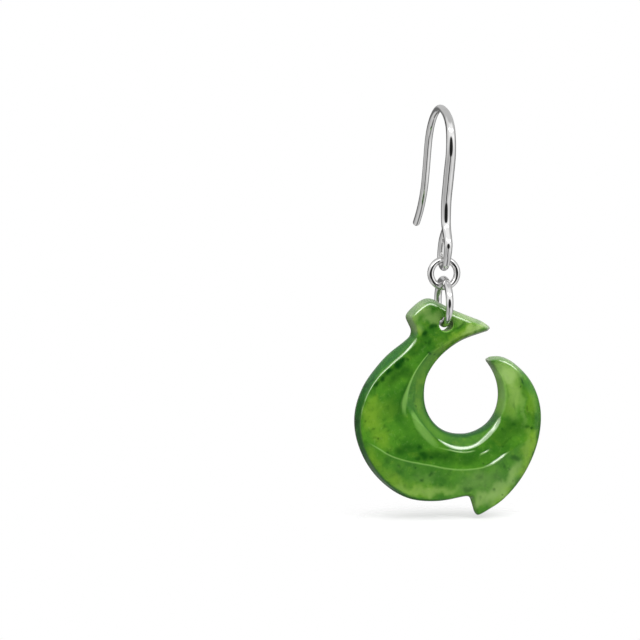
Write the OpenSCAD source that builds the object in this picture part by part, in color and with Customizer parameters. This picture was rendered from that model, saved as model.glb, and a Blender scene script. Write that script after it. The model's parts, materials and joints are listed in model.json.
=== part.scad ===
// A hook earring: a tapered ear wire, a jump ring, a larger ring and a carved fish-hook pendant.
// Millimetres. +Z is up, X runs across the pendant's face and Y from its front to its back.
// The origin is the underside of the ear wire's arch, where it rests in the ear.

/* [Ear wire] */
// Height from the arch's underside down to the middle of the loop's lowest wire
drop = 17.8; // [17:0.1:19]
// How far the loop hangs in front of the arch's peak
set_forward = 1.9; // [1.6:0.1:2.2]
// Thickness of the ear wire against the real one
wire_scale = 1; // [0.9:0.02:1.06]
// Radius of the loop's bottom bend, to the middle of its wire
loop_r = 1.25; // [1.15:0.05:1.4]
// Radius of the wire in the loop's bottom bend
loop_wire_r = 0.44; // [0.4:0.01:0.46]
// How far the loop leans to the front, in degrees
loop_lean = 18; // [0:1:24]

/* [Rings] */
// Radius of the jump ring, to the middle of its wire
jump_r = 1.57; // [1.54:0.01:1.8]
// Radius of the jump ring's wire
jump_wire_r = 0.38; // [0.34:0.01:0.4]
// Radius of the larger ring, to the middle of its wire
lower_r = 2.54; // [2.5:0.02:3]
// Radius of the larger ring's wire
lower_wire_r = 0.43; // [0.38:0.01:0.44]
// Gap left where one wire hangs on another
hang_gap = 0.03; // [0.02:0.01:0.08]

/* [Pendant] */
// Thickness of the body at its crown
body_t = 3.2; // [2.8:0.1:3.6]
// Thickness of the head, round the hole
head_t = 2.4; // [2:0.1:2.5]
// Height of the upright wall left round the edge
rim_t = 1.3; // [1:0.1:1.6]
// Width of the bevel along the outer edge
bevel_w = 0.6; // [0.4:0.05:0.8]
// Width of the cove along the inner edge
cove_w = 1.75; // [1.2:0.05:2]
// Distance from the hole's axis to the ridge across the belly
ridge_r = 14; // [13.4:0.1:15]
// Radius of the drilled hole
hole_r = 0.85; // [0.82:0.01:0.95]
// Width of the chamfer at each mouth of the hole
chamfer_w = 0.25; // [0.1:0.05:0.35]

/* [Hidden] */

silver = [0.86, 0.86, 0.87];
jade = [0.31, 0.52, 0.17];

// Heights of the hanging stack, from the loop down to the pendant's hole.
loop_z = -drop;
jump_top_z = loop_z + loop_wire_r + jump_wire_r + hang_gap;
jump_z = jump_top_z - jump_r;
jump_low_z = jump_z - jump_r;
lower_top_z = jump_low_z + jump_wire_r + lower_wire_r + hang_gap;
lower_z = lower_top_z - lower_r;
hole_z = lower_z - lower_r;

// Columns of the ear wire's route: depth, height and wire radius, from the free tip over the
// arch and down the front leg to the bottom bend.
DEPTH = 0;
HEIGHT = 1;
RADIUS = 2;
wire_route = [
    [10.5, -13.25, 0.32],
    [9.0, -11.85, 0.33],
    [7.75, -10.4, 0.34],
    [6.85, -8.9, 0.35],
    [6.2, -7.2, 0.36],
    [5.65, -5.6, 0.37],
    [5.15, -4.0, 0.38],
    [4.4, -2.4, 0.39],
    [3.1, -0.9, 0.4],
    [1.5, 0.06, 0.4],
    [0, 0.4, 0.4],
    [-1.9, 0.12, 0.43],
    [-3.5, -0.65, 0.47],
    [-4.5, -1.8, 0.5],
    [-4.85, -3.4, 0.52],
    [-4.7, -5.0, 0.54],
    [-4.15, -6.6, 0.56],
    [-3.5, -8.3, 0.57],
    [-2.9, -10.0, 0.57],
    [-2.7, -11.6, 0.56],
    [-2.85, -12.9, 0.53],
    [-3.35, -14, 0.5],
    [-3.75, -14.9, 0.48],
    [-3.75, -15.7, 0.46]
];
// The route that closes the loop, from the bottom bend up to the back of the front leg.
closing_route = [
    [-1.02, -15.2, 0.43],
    [-1.5, -14.4, 0.42],
    [-2.2, -13.7, 0.41],
    [-2.9, -13.2, 0.38]
];
route_drop = 17.8;
route_steps = 4;
wire_sides = 16;
tip_rings = 4;
tip_start = 8;
bend_lead = 0.3;
bend_overlap = 0.06;
bend_shrink = 0.97;

// Columns of the pendant's ribs, which radiate from the middle of its round void: angle up from
// the +X axis, radius of the inner edge and radius of the outer edge. They run from the beak
// over the head, down the back, round the belly and the barb, and up to the tip of the arm.
ANGLE = 0;
INNER = 1;
OUTER = 2;
void_x = 2.12;
void_z = -8.4;
ribs = [
    [66.7, 8.4, 8.5],
    [67.5, 8.13, 8.6],
    [70, 7.8, 8.75],
    [75, 7.35, 8.95],
    [82, 6.87, 9.15],
    [89, 6.48, 9.5],
    [96, 6.12, 10.05],
    [102, 5.85, 10.87],
    [107, 5.65, 11.75],
    [110, 5.55, 12.08],
    [113.5, 5.44, 12.12],
    [118.5, 5.3, 11.92],
    [122.5, 5.2, 11.72],
    [125, 5.14, 11.5],
    [126.1, 5.12, 11.17],
    [126.8, 5.1, 10.55],
    [127.6, 5.09, 9.9],
    [129.2, 5.06, 9.53],
    [132.5, 5, 9.31],
    [140, 4.89, 9.47],
    [150, 4.78, 10.02],
    [162, 4.63, 10.78],
    [175, 4.51, 11.82],
    [190, 4.47, 12.84],
    [205, 4.46, 13.38],
    [222, 4.47, 13.59],
    [240, 4.47, 13.38],
    [254, 4.42, 12.65],
    [265, 4.38, 12],
    [270, 4.38, 11.77],
    [273.2, 4.39, 11.72],
    [275, 4.4, 11.88],
    [275.8, 4.4, 12.35],
    [276.4, 4.4, 13.08],
    [276.9, 4.4, 13.65],
    [278, 4.4, 14.05],
    [280, 4.4, 14.02],
    [284, 4.4, 13.72],
    [291, 4.41, 13.28],
    [302, 4.44, 12.47],
    [316, 4.49, 11.5],
    [332, 4.52, 10.57],
    [350, 4.49, 9.65],
    [368, 4.48, 8.62],
    [384, 4.54, 7.63],
    [396, 4.65, 6.98],
    [404, 4.76, 6.44],
    [409, 4.85, 5.98],
    [412.5, 4.96, 5.52],
    [414, 5.06, 5.2]
];
rib_steps = 3;
ridge_centre = [0, -3];
ridge_fall = 0.14;
crown_top_z = -2;
crown_low_z = -9;
// The greatest share of a rib's width that the cove and the bevel may take, and the least slant.
cove_share = 0.4;
bevel_share = 0.3;
least_slant = 0.4;
// Where the stone thins: the place of each tip, how much it thins there and how far that reaches.
PLACE = 0;
THINNING = 1;
REACH = 2;
tips = [
    [[5.5, -0.6], 0.4, 2.4],
    [[5.3, -4.2], 0.4, 2.6],
    [[4.3, -22.2], 0.3, 1.8]
];

// A smooth curve through the rows of a table, where at counts rows from its start.
function row(table, i) = table[max(0, min(len(table) - 1, i))];
function between(a, b, c, d, t) =
    (2 * b + (c - a) * t + (2 * a - 5 * b + 4 * c - d) * t * t
    + (3 * b - a - 3 * c + d) * t * t * t) / 2;
function along(table, at) =
    let (i = min(floor(at), len(table) - 2))
    between(row(table, i - 1), row(table, i), row(table, i + 1), row(table, i + 2), at - i);
function smooth_rows(table, steps) =
    [for (k = [0 : (len(table) - 1) * steps]) along(table, k / steps)];

// Triangles that join closed rings of points, with each end closed by a fan.
function ring_faces(rings, sides) = [
    for (i = [0 : rings - 2])
        for (j = [0 : sides - 1])
            let (a = i * sides + j, b = i * sides + (j + 1) % sides)
            each [[a, b + sides, b], [a, a + sides, b + sides]],
    for (j = [1 : sides - 2]) [0, j, j + 1],
    for (j = [1 : sides - 2]) let (e = (rings - 1) * sides) [e, e + j + 1, e + j]
];

// Wire swept along a route in the plane x = 0. The ring at each row stands square to the route.
function heading(rows, i) =
    let (a = rows[max(0, i - 1)], b = rows[min(len(rows) - 1, i + 1)])
    let (d = [b[DEPTH] - a[DEPTH], b[HEIGHT] - a[HEIGHT]])
    d / norm(d);
function wire_ring(row_at, way) = [
    for (j = [0 : wire_sides - 1])
        let (a = 360 * (j + 0.5) / wire_sides, r = row_at[RADIUS] * wire_scale)
        [r * sin(a), row_at[DEPTH] - way[1] * r * cos(a), row_at[HEIGHT] + way[0] * r * cos(a)]
];
module wire_sweep(rows) {
    rings = [for (i = [0 : len(rows) - 1]) wire_ring(rows[i], heading(rows, i))];
    polyhedron(
        points = [for (r = rings) each r],
        faces = ring_faces(len(rings), wire_sides),
        convexity = 6
    );
}

// The free tip is a dome: rings that shrink as a quarter circle ahead of the route's first row.
function tip_dome(rows) =
    let (way = heading(rows, 0), r = rows[0][RADIUS])
    [for (k = [0 : tip_rings - 1])
        let (a = tip_start + (90 - tip_start) * k / tip_rings)
        [rows[0][DEPTH] - way[0] * r * cos(a), rows[0][HEIGHT] - way[1] * r * cos(a), r * sin(a)]];

// Routes are drawn for one drop and stretched in height to the drop that is asked for.
function fitted(route) =
    [for (p = route) [p[DEPTH], p[HEIGHT] * (p[HEIGHT] < 0 ? drop / route_drop : 1), p[RADIUS]]];

// The rows where a route runs square into an end of the loop's bottom bend and a little past it.
// side is -1 at the bend's front end and 1 at its rear end.
function bend_row(side, over) = [
    -set_forward + side * loop_r * cos(loop_lean) + over * sin(loop_lean),
    loop_z + loop_r + side * loop_r * sin(loop_lean) - over * cos(loop_lean),
    loop_wire_r * bend_shrink
];
front_rows = concat(fitted(wire_route), [bend_row(-1, -bend_lead), bend_row(-1, bend_overlap)]);
rear_rows = concat([bend_row(1, bend_overlap), bend_row(1, -bend_lead)], fitted(closing_route));

module ear_wire() color(silver) {
    front = smooth_rows(front_rows, route_steps);
    translate([0, -set_forward, loop_z + loop_r])
        rotate([90, 0, 90])
        rotate([0, 0, 180 + loop_lean])
        rotate_extrude(angle = 180, $fn = 120)
        translate([loop_r, 0])
        circle(r = loop_wire_r, $fn = 60);
    wire_sweep(concat(tip_dome(front), front));
    wire_sweep(smooth_rows(rear_rows, route_steps));
}

// A closed ring of round wire, lying in the plane x-y before it is turned.
module ring(r, wire_r) {
    rotate_extrude($fn = 120)
        translate([r, 0])
        circle(r = wire_r, $fn = 60);
}

module jump_ring() color(silver)
    translate([0, -set_forward, jump_z])
    rotate([90, 0, 0])
    ring(jump_r, jump_wire_r);

module lower_ring() color(silver)
    translate([0, -set_forward, lower_z])
    rotate([0, 90, 0])
    ring(lower_r, lower_wire_r);

// The pendant's two edges, as points in its own plane with the hole at the origin.
smooth_ribs = smooth_rows(ribs, rib_steps);
function rib_point(rib, r) =
    [void_x + r * cos(rib[ANGLE]), void_z + r * sin(rib[ANGLE])];
inner_edge = [for (rib = smooth_ribs) rib_point(rib, rib[INNER])];
outer_edge = [for (rib = smooth_ribs) rib_point(rib, rib[OUTER])];

// Distance from a point to an edge: the least of the distances to its short stretches.
function to_stretch(p, a, b) =
    let (ab = b - a, t = max(0, min(1, ((p - a) * ab) / (ab * ab))))
    norm(p - a - t * ab);
function to_edge(p, edge) =
    min([for (i = [0 : len(edge) - 2]) to_stretch(p, edge[i], edge[i + 1])]);

// Half the stone's thickness at a point: the lowest of the outer bevel, the cove, the face and
// the facet below the belly's ridge, thinned towards the tips.
function ease(t) = let (u = max(0, min(1, t))) u * u * (3 - 2 * u);
function crown(p) =
    head_t / 2 + (body_t - head_t) / 2 * ease((crown_top_z - p[1]) / (crown_top_z - crown_low_z));
function rise(distance, width, top) = rim_t / 2 + (top - rim_t / 2) * min(1, distance / width);
function thinning(p) =
    1 - max([for (tip = tips) tip[THINNING] * exp(-pow(norm(p - tip[PLACE]) / tip[REACH], 2))]);
function half_thickness(p) =
    let (top = crown(p), past_ridge = max(0, norm(p - ridge_centre) - ridge_r))
    thinning(p) * min(
        rise(to_edge(p, outer_edge), bevel_w, top),
        rise(to_edge(p, inner_edge), cove_w, top),
        top - ridge_fall * past_ridge
    );

// Stations across a rib, from the inner edge to the outer one. The bevel's station moves in
// where the outer edge runs aslant to the rib, so that the bevel keeps its width.
function slant(i) =
    let (a = outer_edge[max(0, i - 1)], b = outer_edge[min(len(outer_edge) - 1, i + 1)])
    let (d = (b - a) / norm(b - a), angle = smooth_ribs[i][ANGLE])
    max(least_slant, abs(d[0] * sin(angle) - d[1] * cos(angle)));
function stations(i) =
    let (rib = smooth_ribs[i], w = rib[OUTER] - rib[INNER])
    let (cove = min(cove_w, cove_share * w), bevel = min(bevel_w / slant(i), bevel_share * w))
    let (face = w - cove - bevel)
    [for (s = [0, cove / 2, cove, cove + face / 3, cove + face * 2 / 3, w - bevel, w - bevel / 2, w])
        rib[INNER] + s];
function rib_ring(i) =
    let (rib = smooth_ribs[i])
    let (places = [for (r = stations(i)) rib_point(rib, r)])
    let (halves = [for (p = places) half_thickness(p)], last = len(places) - 1)
    [
        for (k = [0 : last]) [places[k][0], -halves[k], places[k][1]],
        for (k = [last : -1 : 0]) [places[k][0], halves[k], places[k][1]]
    ];

module carved_hook() {
    rings = [for (i = [0 : len(smooth_ribs) - 1]) rib_ring(i)];
    polyhedron(
        points = [for (r = rings) each r],
        faces = ring_faces(len(rings), len(rings[0])),
        convexity = 8
    );
}

module drilled_hole() {
    rotate([90, 0, 0])
        cylinder(r = hole_r, h = 2 * body_t, center = true, $fn = 96);
    for (side = [0, 180])
        rotate([90, 0, side])
        translate([0, 0, head_t / 2 - chamfer_w])
        cylinder(r1 = hole_r, r2 = hole_r + 2 * chamfer_w, h = 2 * chamfer_w, $fn = 96);
}

module pendant() color(jade)
    translate([0, -set_forward, hole_z])
    difference() {
        carved_hook();
        drilled_hole();
    }

ear_wire();
jump_ring();
lower_ring();
pendant();
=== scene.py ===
import json
import math

import bpy
import numpy as np
from mathutils import Matrix, Vector


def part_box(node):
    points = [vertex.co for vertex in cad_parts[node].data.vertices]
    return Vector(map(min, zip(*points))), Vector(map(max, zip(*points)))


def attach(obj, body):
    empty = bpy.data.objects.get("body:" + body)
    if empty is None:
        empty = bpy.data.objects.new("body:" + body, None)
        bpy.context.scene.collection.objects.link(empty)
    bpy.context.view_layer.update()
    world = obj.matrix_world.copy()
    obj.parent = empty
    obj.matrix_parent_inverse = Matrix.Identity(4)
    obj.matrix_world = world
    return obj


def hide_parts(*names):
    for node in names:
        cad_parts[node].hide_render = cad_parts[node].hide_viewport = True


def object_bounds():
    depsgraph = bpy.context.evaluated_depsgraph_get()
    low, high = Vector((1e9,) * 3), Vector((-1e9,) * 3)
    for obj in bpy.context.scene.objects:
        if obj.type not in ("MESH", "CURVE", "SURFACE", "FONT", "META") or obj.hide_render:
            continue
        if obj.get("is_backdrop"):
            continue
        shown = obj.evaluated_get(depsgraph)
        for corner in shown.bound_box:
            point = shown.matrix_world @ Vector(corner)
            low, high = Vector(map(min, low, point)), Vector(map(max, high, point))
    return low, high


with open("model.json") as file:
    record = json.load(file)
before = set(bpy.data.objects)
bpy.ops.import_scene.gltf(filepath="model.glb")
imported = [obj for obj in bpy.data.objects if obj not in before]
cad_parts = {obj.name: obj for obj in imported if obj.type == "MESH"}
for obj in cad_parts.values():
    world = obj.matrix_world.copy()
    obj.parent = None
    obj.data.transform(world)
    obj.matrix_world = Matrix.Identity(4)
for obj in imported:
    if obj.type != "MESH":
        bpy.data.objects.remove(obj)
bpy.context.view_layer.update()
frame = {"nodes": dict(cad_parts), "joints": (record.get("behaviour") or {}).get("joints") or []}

print("frame loaded:", ", ".join(sorted(frame["nodes"])))

# Shapes are worked out in millimetres, in the frame's own axes, and become metres in the mesh.
mm = 0.001
jointAt = {joint["name"]: np.array(joint["pos_m"]) / mm for joint in frame["joints"]}
holeAt = jointAt["pendant_swing"]
loopAt = jointAt["jump_ring_swing"]

# Where the camera stands about the pendant's hole, in degrees and millimetres, the place of the
# hole in a square picture of the size given, and the nearest and farthest that it sees, in metres.
cameraSetup = {
    "azimuth": -15.5, "elevation": 4.5, "distance": 400,
    "picture": 640, "pixelsPerMm": 8.68, "holePixel": (443.7, 323.6),
    "sensor": 36, "clip": (0.01, 20),
}


def fromSide(azimuth, elevation):
    # The unit vector that points from the object to a place round it. Azimuth 0 is its front.
    a, e = math.radians(azimuth), math.radians(elevation)
    return np.array([math.sin(a) * math.cos(e), -math.cos(a) * math.cos(e), math.sin(e)])


def addObject(name, data):
    # Puts a mesh, light or camera into the scene, at the origin.
    made = bpy.data.objects.new(name, data)
    bpy.context.scene.collection.objects.link(made)
    return made


def addCamera(setup):
    # The camera looks along -back. It stands at the hole plus distance times back, moved sideways
    # and up so that the hole falls on its pixel, and turned so that the hole keeps its azimuth.
    middle = setup["picture"] / 2
    aside, below = ((pixel - middle) / setup["pixelsPerMm"] for pixel in setup["holePixel"])
    azimuth = setup["azimuth"] + math.degrees(math.atan2(aside, setup["distance"]))
    back = fromSide(azimuth, setup["elevation"])
    right = fromSide(azimuth + 90, 0)
    up = np.cross(back, right)
    place = holeAt + setup["distance"] * back - aside * right + below * up
    data = bpy.data.cameras.new("camera")
    data.sensor_width = setup["sensor"]
    data.lens = setup["pixelsPerMm"] * setup["distance"] * setup["sensor"] / setup["picture"]
    data.clip_start, data.clip_end = setup["clip"]
    data.dof.use_dof = False
    camera = addObject("camera", data)
    turn = Matrix((right, up, back)).transposed()
    camera.matrix_world = Matrix.Translation(place * mm) @ turn.to_4x4()
    bpy.context.scene.camera = camera


addCamera(cameraSetup)
print("camera placed")


def operators(operation):
    # The method of an operator and that of its reflected form.
    def forward(self, other):
        return self.math(operation, self, other)

    def reflected(self, other):
        return self.math(operation, other, self)

    return forward, reflected


class Flow:
    # A socket in a node tree. Sums, products and powers of flows and numbers add Math nodes.
    def __init__(self, tree, socket=None):
        self.tree = tree
        self.socket = socket

    def node(self, kind, settings=None, inputs=None, output=0):
        # Adds a node: its settings first, then the values or links of its sockets.
        made = self.tree.nodes.new(kind)
        for name, setting in (settings or {}).items():
            setattr(made, name, setting)
        for name, value in (inputs or {}).items():
            if isinstance(value, Flow):
                self.tree.links.new(value.socket, made.inputs[name])
            else:
                made.inputs[name].default_value = value
        return Flow(self.tree, made.outputs[output])

    def math(self, operation, a, b=0.0):
        # The result of a Math node on one or two values.
        return self.node("ShaderNodeMath", {"operation": operation}, {0: a, 1: b})

    __add__, __radd__ = operators("ADD")
    __sub__, __rsub__ = operators("SUBTRACT")
    __mul__, __rmul__ = operators("MULTIPLY")
    __pow__, __rpow__ = operators("POWER")

    def fade(self, low, high, fromLow=0.0, toHigh=1.0):
        # A smooth step: fromLow where the value is low or less, toHigh where it is high or more.
        inputs = {"Value": self, 1: low, 2: high, 3: fromLow, 4: toHigh}
        return self.node("ShaderNodeMapRange", {"interpolation_type": "SMOOTHSTEP"}, inputs)

    def mix(self, factor, a, b):
        # Colour a where the factor is 0, and colour b where it is 1.
        return self.node("ShaderNodeMix", {"data_type": "RGBA"}, {0: factor, 6: a, 7: b}, 2)

    def vector(self, operation, a, b=(0, 0, 0), output=0):
        # A Vector Math node. Its output 1 is the plain number of a dot product or a length.
        return self.node("ShaderNodeVectorMath", {"operation": operation}, {0: a, 1: b}, output)

    def noise(self, place, scale, detail=2.0, roughness=0.5, output=0):
        # Noise at a place times the scale. Its output 1 is a colour, three noises at once.
        inputs = {"Vector": place, "Scale": scale, "Detail": detail, "Roughness": roughness}
        return self.node("ShaderNodeTexNoise", {}, inputs, output)


def newMaterial(name, sockets):
    # A material, its shader with those sockets' values, and the flow of the places on the piece.
    material = bpy.data.materials.new(name)
    material.use_nodes = True
    tree = material.node_tree
    shader = tree.nodes["Principled BSDF"]
    for socket, value in sockets.items():
        shader.inputs[socket].default_value = value
    place = Flow(tree).node("ShaderNodeTexCoord", output="Object")
    return material, shader, place


def feed(shader, socket, flow):
    # Links a flow to one of the shader's sockets.
    flow.tree.links.new(flow.socket, shader.inputs[socket])


def linear(screen, light):
    # The linear colour of 8-bit screen values, divided by the light that falls on it.
    screen = np.array(screen) / 255
    plain = np.where(screen < 0.04045, screen / 12.92, ((screen + 0.055) / 1.055) ** 2.4)
    return (*(plain / light), 1.0)


# Sizes in millimetres. A fade is the two values of the clouds' noise between which it comes in.
silverLook = {
    "colour": (0.74, 0.738, 0.735, 1),
    "dull": (0.68, 0.675, 0.668, 1), "dullFade": (0.4, 0.75),
    "roughness": 0.03, "roughnessSpread": 0.04, "roughnessFade": (0.45, 0.8),
    "cloudSize": 1.6, "cloudDetail": 3.0,
    "markSize": 0.09, "markDepth": 0.004, "markStrength": 0.05,
    "sockets": {"Metallic": 1.0},
}


def silverMaterial(look):
    # Polished silver: fine polishing marks in the bump, and faint clouds in tone and roughness.
    material, shader, place = newMaterial("polished silver", look["sockets"])
    clouds = place.noise(place, 1 / (look["cloudSize"] * mm), look["cloudDetail"])
    marks = place.noise(place, 1 / (look["markSize"] * mm))
    duller = clouds.fade(*look["dullFade"])
    feed(shader, "Base Color", place.mix(duller, look["colour"], look["dull"]))
    rougher = clouds.fade(*look["roughnessFade"])
    feed(shader, "Roughness", look["roughness"] + look["roughnessSpread"] * rougher)
    bump = {"Strength": look["markStrength"], "Distance": look["markDepth"] * mm, "Height": marks}
    feed(shader, "Normal", place.node("ShaderNodeBump", {}, bump))
    return material


# The stone's colours are 8-bit screen values, divided by the light on its face. Millimetres.
stoneLook = {
    "faceLight": 1.25,
    # Some colours are painted light: the bevel's dark blue-green is painted shade, the grey is a painted
    # sheen, the light green of the lines and facets is a painted highlight, and the green inside the
    # hole is lightened as painted light.
    "colours": {
        "base": (74, 130, 34), "shade": (54, 110, 28), "deep": (12, 63, 12), "warm": (116, 158, 44),
        "pale": (150, 182, 104), "bevelShade": (34, 90, 38), "rim": (34, 76, 44), "streak": (100, 146, 48),
        "paintedHighlight": (140, 186, 96), "paintedSheen": (158, 169, 146), "bore": (126, 178, 74), "speck": (14, 56, 8),
    },
    # The layers of colour from the lowest up: the noise, specks or attribute that places each, its
    # colour, its strength, and for a noise the values between which it fades in.
    "layers": [
        ("broad", "shade", 1, 0.35, 0.65), ("warm", "warm", 1), ("mottle", "deep", 0.3, 0.5, 0.72),
        ("mottle", "warm", 0.28, 0.48, 0.26), ("grain", "deep", 0.22, 0.55, 0.78),
        ("fine", "deep", 0.25, 0.56, 0.76), ("pale", "pale", 1), ("fine", "pale", 0.12, 0.44, 0.26),
        ("streak", "streak", 1), ("specks", "speck", 0.6), ("bevel", "bevelShade", 1), ("deep", "deep", 1),
        ("rim", "rim", 0.85), ("paintedShade", "deep", 0.7), ("paintedHighlight", "paintedHighlight", 0.7), ("paintedSheen", "paintedSheen", 1),
        ("bore", "bore", 0.9),
    ],
    "patchy": ("streak", "bevel"),  # these are broken up by the mottle
    "patchiness": (0.45, 0.7),  # what is left where the mottle is 0, and what it adds
    "noises": {  # size, detail and roughness
        "broad": (3.2, 2, 0.5), "mottle": (0.9, 4, 0.62), "fine": (0.42, 3, 0.6), "grain": (0.6, 3, 0.6),
    },
    "warp": 0.9, "warpSize": 1.3, "grainTilt": -38, "grainStretch": 0.3,
    "speckSize": 1.15, "speckFade": (0.2, 0.05), "speckChance": (0.6, 0.7),
    "roughness": 0.045, "roughnessSpread": 0.05, "roughnessFade": (0.5, 0.8), "boreRoughness": 0.4,
    "bumpStrength": 0.1, "bumpDepth": 0.01,
    "sockets": {
        "IOR": 1.61, "Specular IOR Level": 0.14, "Coat IOR": 3.0, "Coat Roughness": 0.04,
        "Subsurface Weight": 0.35, "Subsurface Radius": (0.6, 0.68, 0.52), "Subsurface Scale": 1.1 * mm,
    },
    # Each cloud's place right and up of the hole, half length and half width, all in hundredths of
    # a millimetre, its tilt in degrees, and its share of the colour in percent.
    # The warm clouds at 970, -1470 and 1040, -1430, on the right edge, are painted light: the yellow of
    # light shining through the thin edge.
    "warmClouds": [
        (-100, -180, 92, 81, 30, 20), (970, -1470, 276, 92, 78, 70), (-900, -1040, 196, 127, 80, 80),
        (-890, -850, 92, 69, 60, 50), (-700, -970, 184, 138, 70, 25), (-780, -1280, 184, 92, -60, 60),
        (-840, -1560, 184, 81, -60, 55), (-640, -1780, 161, 92, -40, 50), (-260, -1940, 438, 81, 4, 45),
        (1040, -1430, 207, 58, 80, 100), (950, -1710, 161, 69, 65, 70), (700, -1990, 207, 69, 45, 60),
        (800, -750, 230, 138, -70, 50), (1010, -950, 207, 58, -82, 50), (220, -100, 184, 69, 25, 90),
        (0, -230, 138, 58, 40, 60), (-70, -430, 115, 46, 55, 50), (-300, -670, 161, 30, 75, 50),
        (-310, -950, 115, 30, -72, 50), (-400, 0, 92, 69, -40, 50), (-350, -70, 58, 46, 0, 70),
        (270, -60, 138, 58, 25, 50), (730, -970, 138, 104, -85, 40), (-290, -1910, 184, 58, 2, 30),
        (-510, -1860, 184, 92, -20, 50),
    ],
    "paleClouds": [
        (-350, -20, 81, 69, 0, 35), (180, 50, 115, 58, -22, 30), (280, -70, 115, 58, 25, 40),
        (400, -2030, 104, 92, 70, 45), (360, -2100, 69, 58, 70, 30), (970, -1420, 230, 58, 80, 12),
        (730, -560, 196, 138, -35, 70), (800, -800, 207, 127, -75, 38), (770, -1020, 138, 104, -85, 14),
        (450, -30, 115, 58, 15, 95), (260, 80, 138, 58, -22, 60), (100, 150, 92, 35, -22, 40),
        (640, -1950, 207, 104, 45, 50), (810, -1750, 161, 81, 60, 50), (-80, -1930, 346, 58, 2, 30),
        (920, -1040, 207, 46, -85, 20), (-890, -1670, 92, 46, -60, 35), (-270, 180, 104, 69, 10, 40),
        (-170, 80, 115, 92, 0, 40), (-290, -1910, 184, 58, 2, 15), (-500, -1890, 150, 69, -18, 22),
        (-260, -1770, 184, 69, 5, 12), (280, -60, 104, 46, 25, 30), (-420, 80, 81, 81, 60, 45),
        (-320, 150, 92, 69, 40, 30), (520, -2000, 161, 81, 50, 35), (400, -1810, 276, 138, 10, 20),
    ],
    "deepClouds": [
        (-500, -540, 115, 81, 50, 35), (-610, -600, 104, 58, 43, 35), (-540, -420, 69, 46, 42, 50),
        (-520, -400, 58, 35, 45, 95), (-590, -460, 69, 39, 45, 100), (-680, -530, 69, 39, 42, 100),
        (-760, -600, 69, 35, 42, 95), (-840, -680, 58, 28, 50, 90), (-630, -590, 230, 81, 43, 40),
        (-580, -880, 230, 115, 70, 15), (-160, -20, 52, 35, 20, 90), (-260, -100, 52, 40, 30, 95),
        (-200, -210, 46, 25, 80, 50), (-200, -330, 28, 23, 0, 80), (-290, -240, 29, 23, 0, 35),
        (-580, -1440, 69, 46, -10, 60), (-460, -540, 69, 138, 70, 30), (-380, -280, 138, 69, 60, 40),
        (-270, -150, 104, 58, 60, 35), (-330, -1400, 46, 35, 0, 75), (-280, -1500, 69, 46, -20, 70),
        (-180, -1540, 40, 29, -15, 80), (-360, -1540, 35, 23, 0, 80), (-460, -1420, 138, 69, 0, 45),
        (-130, -1510, 300, 81, -3, 62), (230, -1570, 230, 69, 8, 35), (-570, -1620, 35, 23, 0, 60),
        (-180, -1730, 37, 23, 20, 70), (-300, -1790, 35, 28, 0, 80), (-680, -1800, 23, 17, 0, 50),
        (-490, -1850, 28, 18, 0, 30), (-20, -1780, 69, 40, 20, 25), (270, -1920, 69, 35, 15, 55),
        (400, -1780, 58, 35, 10, 35), (-970, -1100, 23, 18, 0, 50), (-870, -1180, 25, 18, 20, 55),
        (-750, -1160, 21, 30, 0, 50), (-710, -1210, 25, 17, 30, 50), (-850, -1280, 23, 16, 0, 40),
        (820, -1190, 173, 127, -5, 45), (800, -1180, 35, 29, 0, 50), (970, -1210, 29, 29, 0, 70),
        (1020, -1220, 18, 18, 0, 100), (640, -1300, 161, 138, 40, 35), (820, -1570, 69, 40, -15, 70),
        (700, -1650, 25, 37, 10, 70), (770, -1700, 16, 16, 0, 80), (650, -1830, 17, 17, 0, 60),
        (580, -1920, 17, 15, 0, 60), (420, -2030, 18, 18, 0, 50), (720, -1360, 115, 13, 37, 45),
        (910, -680, 41, 10, -62, 80), (980, -1000, 81, 10, -86, 50), (800, -950, 69, 12, -88, 35),
        (530, -490, 30, 23, -45, 80), (160, -20, 92, 15, 28, 60), (40, -110, 69, 18, 35, 40),
        (-1060, -1120, 115, 17, 88, 75), (-930, -680, 39, 21, 50, 60), (-980, -750, 35, 17, 60, 60),
        (-1020, -860, 46, 13, 70, 40), (-1020, -1440, 69, 14, -70, 40), (-880, -630, 35, 16, 45, 40),
        (300, -1200, 138, 46, 45, 30),
    ],
    # Waves that give the clouds uneven outlines: heading in degrees, length and push. The deep
    # clouds are pushed by a share of them.
    "waver": [
        (12, 3.1, 0.16), (67, 2.3, 0.13), (131, 1.6, 0.1), (168, 1.1, 0.07), (211, 0.8, 0.05),
        (289, 0.55, 0.035),
    ],
    "deepWaver": 0.4,
}


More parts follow.
